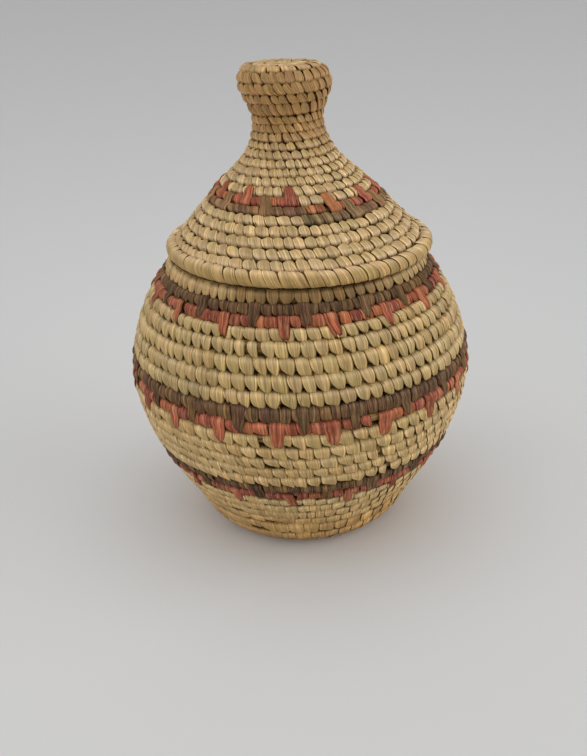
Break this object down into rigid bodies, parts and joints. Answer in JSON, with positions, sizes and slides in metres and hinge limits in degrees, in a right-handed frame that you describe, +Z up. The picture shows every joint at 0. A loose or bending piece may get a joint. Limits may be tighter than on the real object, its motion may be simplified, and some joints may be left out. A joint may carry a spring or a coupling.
{
  "type": "lidded coiled grass basket",
  "caption": "Round-bellied coiled grass basket with a narrow foot and mouth, banded in red and brown, and a conical lift-off lid with a knob.",
  "frame": {"origin": "centre of the flat underside that the basket stands on", "axes": "+Z up through the basket and its lid; -Y is the side seen in the picture; +X to its right"},
  "size_m": [0.0859, 0.0856, 0.1127],
  "materials": {
    "straw": "dry natural grass strands, satin",
    "bundle": "bundled dry grass stems",
    "red_strand": "dyed grass strands, satin",
    "brown_strand": "dyed grass strands, satin"
  },
  "bodies": {
    "basket": {"basket_bundle": "bundle", "basket_lining": "straw", "basket_base": "straw", "basket_foot_course": "straw", "basket_lower_red": "red_strand", "basket_lower_brown": "brown_strand", "basket_lower_course": "straw", "basket_middle_red": "red_strand", "basket_middle_brown": "brown_strand", "basket_upper_course": "straw", "basket_upper_red": "red_strand", "basket_upper_brown": "brown_strand", "basket_mouth_course": "straw", "basket_mouth_edge": "straw"},
    "lid": {"lid_bundle": "bundle", "lid_lining": "straw", "lid_rim_coil": "straw", "lid_flange_coil": "straw", "lid_skirt_course": "straw", "lid_brown": "brown_strand", "lid_red": "red_strand", "lid_slope_course": "straw", "lid_neck_course": "straw", "lid_knob_course": "straw", "lid_crown_course": "straw"}
  },
  "joints": [
    {"name": "lid_lift", "type": "slide", "parent": "basket", "child": "lid", "axis": [0, 0, 1], "range_m": [0, 0.07]}
  ]
}
